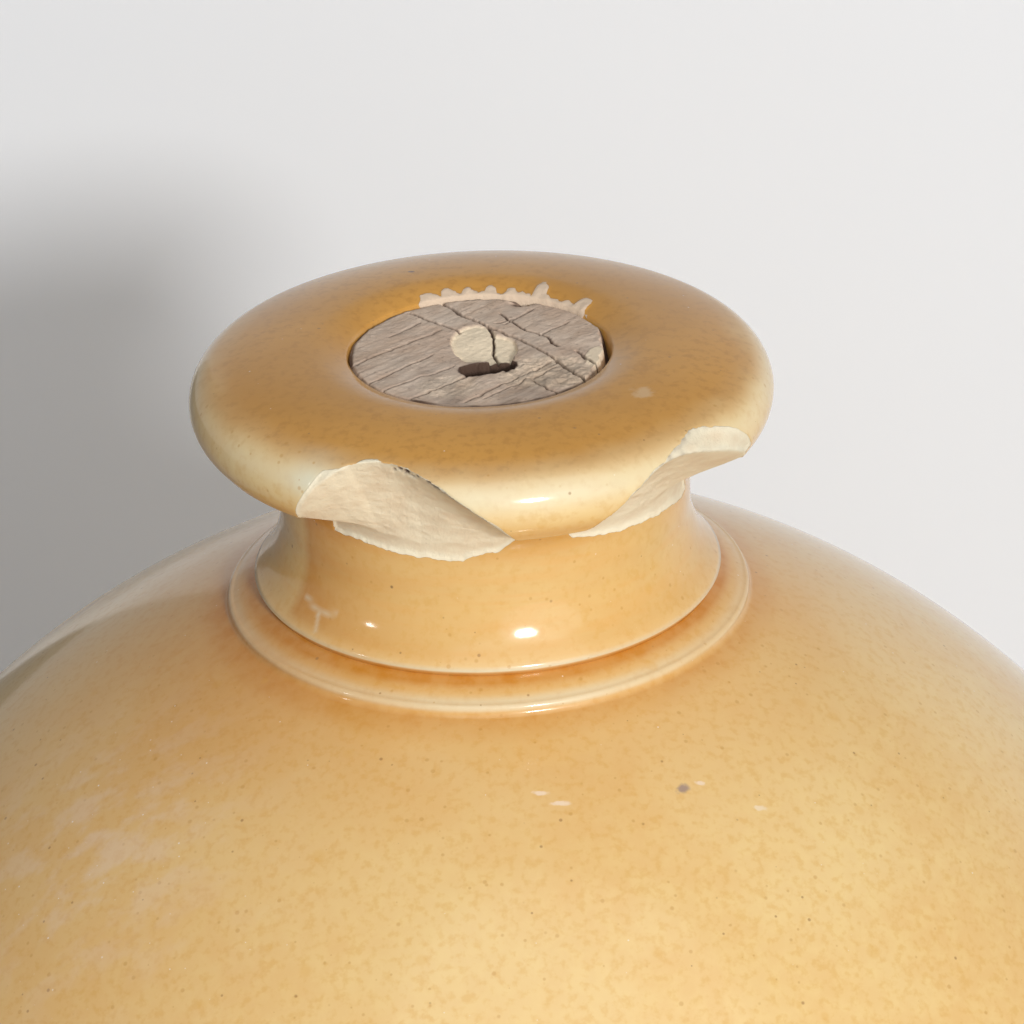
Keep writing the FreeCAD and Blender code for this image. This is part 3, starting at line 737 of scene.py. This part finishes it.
def bung_surface(x, y):
    """
    Depth of the bung's top below the mouth, how freshly broken it is, and how dark: with dirt and
    stains, and with painted shade in its cracks, pit, notch, the gap round its edge and on the broken
    heart's front.
    Saw marks and cracks are bell-shaped grooves about their paths, cut into a surface that
    steps a little from one saw stroke to the next. The broken heart, the pit's lobes and the
    scrap by the edge are ovals with eased edges.
    """
    wander_x = x + 0.16 * grain(x, y, 0 * x, 1.6, 31) + 0.09 * grain(x, y, 0 * x, 0.5, 32)
    wander_y = y + 0.16 * grain(x, y, 0 * x, 1.6, 33) + 0.09 * grain(x, y, 0 * x, 0.5, 34)
    across = -wander_x * math.sin(SAW_ANGLE) + wander_y * math.cos(SAW_ANGLE)
    down = x * math.cos(SAW_ANGLE) + y * math.sin(SAW_ANGLE)
    strokes = grain(across, 0 * x, down * 0.08, 1.3, 35) * 0.06
    strokes = strokes + grain(across, 0 * x, down * 0.2, 0.45, 36) * 0.03
    depth = 0.16 - strokes + 0.07 * rough(x, y, 0 * x, 4.0, 37)
    dirt_and_shade = 0 * x
    # Saw marks are darkened along their grooves.
    for start, end, width, cut in SAW_MARKS:
        groove = bell(from_path(wander_x, wander_y, [start, end]), 0, width)
        depth = depth + cut * groove
        dirt_and_shade = np.maximum(dirt_and_shade, 0.7 * groove)
    crumbly = ease(-np.hypot((x - 9.5) / 8.5, (y + 7.5) / 6.5), -1.0, -0.6)
    crumbly = np.maximum(crumbly, 0.7 * ease(-np.hypot((x + 4.5) / 5.0, (y + 11.0) / 4.5), -1.0, -0.6))
    depth = depth + crumbly * 0.22 * (0.4 + rough(x, y, 0 * x, 1.5, 41))
    depth = depth + 0.025 * rough(x, y, 0 * x, 0.6, 48, 2)
    # The cracks are darkened: painted shade.
    for path, width, cut in CRACKS:
        groove = bell(from_path(wander_x, wander_y, path), 0, width)
        depth = depth + cut * groove
        dirt_and_shade = np.maximum(dirt_and_shade, np.minimum(1.5 * groove, 1))
    lobe_left = np.hypot((wander_x + 0.6) / 3.3, (wander_y - 2.6) / 6.0)
    lobe_right = np.hypot((wander_x - 2.4) / 2.7, (wander_y - 0.6) / 4.6)
    broken = ease(-np.minimum(lobe_left, lobe_right), -1.06, -0.92)
    depth = depth + broken * (0.30 + 0.55 * ease(-y, -7.5, 3.0) + 0.07 * rough(x, y, 0 * x, 2.6, 43))
    scrap = ease(-np.hypot((wander_x - 16.0) / 1.9, (wander_y + 3.4) / 3.6), -1.0, -0.8)
    depth = depth - 0.22 * scrap
    pit = 0 * x
    for side, back, long, wide, turn, deepest in PIT_LOBES:
        u = (wander_x - side) * math.cos(turn) + (wander_y - back) * math.sin(turn)
        v = -(wander_x - side) * math.sin(turn) + (wander_y - back) * math.cos(turn)
        lobe = ease(-np.hypot(u / long, v / wide), -1.05, -0.8)
        pit = np.maximum(pit, lobe * deepest)
        # The pit is darkened: painted shade in the hole.
        dirt_and_shade = np.maximum(dirt_and_shade, ease(-np.hypot(u / long, v / wide), -1.22, -1.06))
    notch = bell(np.hypot(wander_x - 6.2, (wander_y - 15.9) * 1.6), 0, 1.1) * 2.2
    depth = depth + pit + notch
    reach = np.hypot(x, y)
    azimuth = np.degrees(np.arctan2(x, -y))
    bite = 0.25 + 0.8 * ease(azimuth, 48, 62) * ease(-azimuth, -112, -96) + 0.25 * grain(x, y, 0 * x, 1.1, 45)
    gap = ease(reach, BUNG_RADIUS - bite - 0.25, BUNG_RADIUS - bite * 0.5)
    depth = depth + gap * (0.35 + 3.0 * ease(azimuth, 48, 62) * ease(-azimuth, -112, -96))
    # Painted shade in the notch and where the gap round the edge is deep.
    dirt_and_shade = np.maximum.reduce([dirt_and_shade, ease(notch, 0.15, 0.7), ease(depth * gap, 0.7, 2.0)])
    # A dark line in the gap round the edge: painted shade.
    far_left = ease(abs(y - 0.6 * x), 6.0, 11.0)
    seam = ease(reach, BUNG_RADIUS - 0.42 - 0.4 * far_left, BUNG_RADIUS - 0.12 - 0.15 * far_left)
    seam = seam * (0.75 + 0.5 * grain(x, y, 0 * x, 2.4, 47))
    dirt_and_shade = np.maximum(dirt_and_shade, np.clip(seam, 0, 1))
    stain = 0.35 * ease(grain(x, y, 0 * x, 3.5, 49), -0.2, 0.8) * ease(-y, -2.0, 6.0)
    trodden = bell(np.hypot((x - 6.0) / 7.5, (y + 7.0) / 5.0), 0, 1.0)
    stain = stain + 0.28 * trodden * (0.6 + 0.7 * rough(x, y, 0 * x, 1.2, 50, 2))
    # Stains, and painted shade on the broken heart's front towards the pit.
    dirt_and_shade = np.maximum.reduce([dirt_and_shade, stain * (1 - broken), 0.4 * broken * ease(-y, 1.0, 4.2)])
    fresh = np.maximum.reduce([broken * (1 - ease(pit, 0.1, 1.0)), 0.3 * crumbly, 0.85 * scrap])
    return np.clip(depth, 0, 9), fresh, dirt_and_shade


def make_bung(material):
    """The bung: a square grid laid onto a disc for its top, then rings down its side and under it."""
    count = BUNG_COLUMNS
    line_up = np.linspace(-1, 1, count)
    a, b = np.meshgrid(line_up, line_up, indexing="xy")
    far = np.maximum(abs(a), abs(b))
    wide = abs(a) >= abs(b)
    with np.errstate(divide="ignore", invalid="ignore"):
        angle = np.where(wide, b / a * math.pi / 4, math.pi / 2 - a / b * math.pi / 4)
    sign = np.where(wide, np.sign(a), np.sign(b))
    angle = np.nan_to_num(angle)
    x, y = BUNG_RADIUS * sign * far * np.cos(angle), BUNG_RADIUS * sign * far * np.sin(angle)
    depth, fresh, dirt_and_shade = bung_surface(x, y)
    vertices = np.stack([x, y, BUNG_TOP - depth], axis=-1).reshape(-1, 3)
    index = np.arange(count * count).reshape(count, count)
    quads = np.stack([index[:-1, :-1], index[:-1, 1:], index[1:, 1:], index[1:, :-1]], axis=-1)
    faces = quads.reshape(-1, 4).tolist()
    edge = np.concatenate([index[0, :-1], index[:-1, -1], index[-1, :0:-1], index[:0:-1, 0]])
    rim = vertices[edge]
    rings, fields = [vertices], {"fresh": [fresh.ravel()], "dirt_and_shade": [dirt_and_shade.ravel()]}
    levels = [(BUNG_TOP - 9.5, 1.0), (SEAT_FLOOR, 1 - SEAT_TAPER / BUNG_RADIUS)]
    above = edge
    for level, share in levels:
        ring = rim * [share, share, 0] + [0, 0, level]
        below = len(np.concatenate(rings)) + np.arange(len(edge))
        rings.append(ring)
        faces += np.stack([above, below, np.roll(below, -1), np.roll(above, -1)], axis=1).tolist()
        above = below
        for values in fields.values():
            values.append(np.zeros(len(edge)))
    centre = len(np.concatenate(rings))
    rings.append(np.array([[0, 0, SEAT_FLOOR]]))
    for values in fields.values():
        values.append(np.zeros(1))
    faces += np.stack([above, np.full_like(above, centre), np.roll(above, -1)], axis=1).tolist()
    flat = {name: np.concatenate(values) for name, values in fields.items()}
    return put_mesh("sawn_bung", np.concatenate(rings), faces, flat, material)


def make_wood(specks, mottle):
    """Weathered, sawn end grain, paler where it has broken away, stained, and dark with painted shade
    in its cracks, pit and the gap round its edge.
    """
    material, tree, shader, place = new_material("weathered_wood")
    turned = add(tree, "ShaderNodeMapping", {"Vector": place, "Rotation": (0.0, 0.0, -SAW_ANGLE)}).outputs[0]
    streaks = grouped(tree, mottle, Place=turned, Scale=(130.0, 420.0, 200.0), Low=0.35, High=0.72)
    wood = blend(tree, streaks, colour(0.80, 0.62, 0.475), colour(0.60, 0.43, 0.305))
    layers = [
        (turned, (110.0, 1500.0, 200.0), 0.52, 0.66, 0.55, (0.34, 0.23, 0.16)),
        (place, (110.0, 110.0, 110.0), 0.42, 0.60, 0.55, (0.62, 0.44, 0.32)),
        (place, (900.0, 900.0, 900.0), 0.50, 0.64, 0.3, (0.42, 0.29, 0.21)),
        (place, (160.0, 160.0, 160.0), 0.4, 0.7, 0.4, (0.74, 0.63, 0.52)),
    ]
    for where, scale, low, high, strength, shade in layers:
        layer = grouped(tree, mottle, Place=where, Scale=scale, Low=low, High=high)
        wood = blend(tree, maths(tree, "MULTIPLY", layer, strength), wood, colour(*shade))
    flecks = grouped(tree, specks, Place=place, Spacing=0.0011, Size=0.22, Share=0.5)
    wood = blend(tree, maths(tree, "MULTIPLY", flecks, 0.5), wood, colour(0.26, 0.18, 0.13))
    wood = blend(tree, field(tree, "fresh"), wood, colour(1.0, 0.82, 0.585))
    # Dirt and stains, and painted shade in the cracks, pit and edge gap.
    wood = blend(tree, field(tree, "dirt_and_shade"), wood, colour(0.085, 0.045, 0.028))
    tree.links.new(wood, shader.inputs["Base Color"])
    fine = {"Vector": turned, "Scale": 1300.0, "Detail": 5.0, "Roughness": 0.7}
    fibre = add(tree, "ShaderNodeTexNoise", fine).outputs[0]
    bump = add(tree, "ShaderNodeBump", {"Height": maths(tree, "MULTIPLY", fibre, 0.00013), "Distance": 1.0})
    tree.links.new(bump.outputs[0], shader.inputs["Normal"])
    shader.inputs["Roughness"].default_value = 0.85
    return material


# The stage, in metres.
WALL_BACK = 0.29
SWEEP_RADIUS = 0.12
WALL_TOP = 0.62
WALL_FADE = 0.39
STAGE_SIDE = 3.0
WALL_LEFT = -0.15
WALL_RIGHT = 1.5


def make_paper():
    """
    Studio paper, mid grey on the floor and pale up the wall, clear towards the wall's top. It's
    seen from its front only, so that it doesn't hide the jar from behind.
    """
    material, tree, shader, place = new_material("studio_paper")
    height = add(tree, "ShaderNodeSeparateXYZ", {0: place}).outputs[2]
    rise = spread(tree, height, 0.01, SWEEP_RADIUS)
    paper = blend(tree, rise, colour(0.52, 0.52, 0.52), colour(0.87, 0.875, 0.89))
    tree.links.new(paper, shader.inputs["Base Color"])
    shader.inputs["Roughness"].default_value = 0.9
    shader.inputs["Specular IOR Level"].default_value = 0.1
    behind = add(tree, "ShaderNodeNewGeometry").outputs["Backfacing"]
    clear = add(tree, "ShaderNodeBsdfTransparent")
    hidden = maths(tree, "MAXIMUM", behind, spread(tree, height, WALL_FADE, WALL_TOP))
    mixed = add(tree, "ShaderNodeMixShader", {0: hidden, 1: shader.outputs[0], 2: clear.outputs[0]})
    output = next(node for node in tree.nodes if node.type == "OUTPUT_MATERIAL")
    tree.links.new(mixed.outputs[0], output.inputs["Surface"])
    return material


def make_stage(material):
    """A flat floor, and a paper wall behind the jar that curves down onto it and fades out at its top."""
    angles = np.linspace(-math.pi / 2, 0, 25)
    y = np.concatenate([WALL_BACK - SWEEP_RADIUS + SWEEP_RADIUS * np.cos(angles), [WALL_BACK]])
    z = np.concatenate([SWEEP_RADIUS + SWEEP_RADIUS * np.sin(angles), [WALL_TOP]])
    count = len(y)
    sides = [np.stack([np.full(count, x), y, z], axis=1) for x in (WALL_LEFT, WALL_RIGHT)]
    row = np.arange(count - 1)
    faces = np.stack([row, row + count, row + count + 1, row + 1], axis=1).tolist()
    wall = put_mesh("paper_wall", np.concatenate(sides) / MM, faces, {}, material)
    corners = np.array([(-1, -1, 0), (1, -1, 0), (1, 1, 0), (-1, 1, 0)]) * STAGE_SIDE / MM
    floor = put_mesh("floor", corners, [(0, 1, 2, 3)], {}, material)


def towards(azimuth, elevation):
    """The unit vector from the jar towards that azimuth and elevation, in degrees."""
    side, lift = math.radians(azimuth), math.radians(elevation)
    return Vector((math.sin(side) * math.cos(lift), -math.cos(side) * math.cos(lift), math.sin(lift)))


def make_light(name, azimuth, elevation, distance, size, power):
    """A round soft light that faces the rim."""
    lamp = bpy.data.lights.new(name, "AREA")
    lamp.shape = "DISK"
    lamp.size = size
    lamp.energy = power
    light = bpy.data.objects.new(name, lamp)
    back = towards(azimuth, elevation)
    light.location = Vector((0, 0, CREST * MM)) + back * distance
    light.rotation_euler = back.to_track_quat("Z", "Y").to_euler()
    bpy.context.scene.collection.objects.link(light)


def make_world():
    """Even surroundings: a soft fill as light, and a light grey where they are seen, also in a gloss."""
    world = bpy.data.worlds.new("studio")
    world.use_nodes = True
    bpy.context.scene.world = world
    tree = world.node_tree
    tree.nodes.clear()
    path = add(tree, "ShaderNodeLightPath")
    mirrored = maths(tree, "MAXIMUM", path.outputs["Is Glossy Ray"], path.outputs["Is Transmission Ray"])
    seen = maths(tree, "MAXIMUM", path.outputs["Is Camera Ray"], mirrored)
    shown = add(tree, "ShaderNodeBackground", {"Color": colour(0.45, 0.455, 0.465), "Strength": 1.0})
    fill = add(tree, "ShaderNodeBackground", {"Color": colour(0.88, 0.94, 1.0), "Strength": 0.21})
    mixed = add(tree, "ShaderNodeMixShader", {0: seen, 1: fill.outputs[0], 2: shown.outputs[0]})
    output = add(tree, "ShaderNodeOutputWorld")
    tree.links.new(mixed.outputs[0], output.inputs[0])


# The camera: angles in degrees, distance and aim in metres, lens and sensor in millimetres.
CAMERA_AZIMUTH = 0.419
CAMERA_ELEVATION = 26.737
CAMERA_ROLL = -1.96
CAMERA_DISTANCE = 0.5562
AIM_SIDE = 0.00363
AIM_DROP = 0.02616
LENS = 140.6
SENSOR_WIDTH = 36.0
# Each lamp's azimuth, elevation, distance and size in metres, and power.
LAMPS = {
    "main_light": (18, 20, 2.2, 0.32, 29.0),
    "small_light": (-63, 15, 2.2, 0.13, 2.0),
    "low_light": (26, 14, 2.0, 1.5, 6.0),
    "high_light": (16, 52, 2.0, 2.2, 10.0),
}


def make_camera():
    """A long lens looking down on the rim from the front, held slightly off level."""
    back = towards(-CAMERA_AZIMUTH, CAMERA_ELEVATION)
    aim = Vector((AIM_SIDE, 0, CREST * MM - AIM_DROP))
    level = (-back).cross(Vector((0, 0, 1))).normalized()
    upright = level.cross(-back)
    roll = math.radians(CAMERA_ROLL)
    right = math.cos(roll) * level + math.sin(roll) * upright
    up = back.cross(right)
    turned = Matrix((right, up, back)).transposed()
    data = bpy.data.cameras.new("camera")
    data.lens = LENS
    data.sensor_width = SENSOR_WIDTH
    data.clip_start = 0.01
    camera = bpy.data.objects.new("camera", data)
    camera.matrix_world = Matrix.Translation(aim + back * CAMERA_DISTANCE) @ turned.to_4x4()
    bpy.context.scene.collection.objects.link(camera)
    bpy.context.scene.camera = camera


def main():
    """Makes the jar's pieces, dresses them, and sets up the floor, lights and camera."""
    specks, mottle = make_specks(), make_mottle()
    glaze = make_glaze(specks, mottle)
    for piece in (make_rim(glaze), make_body(glaze)):
        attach(piece, "root")
        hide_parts("jar")
    bung = make_bung(make_wood(specks, mottle))
    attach(bung, "root")
    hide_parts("bung")
    make_stage(make_paper())
    for name, values in LAMPS.items():
        make_light(name, *values)
    make_world()
    make_camera()
    bpy.context.scene.view_settings.view_transform = "Standard"


main()
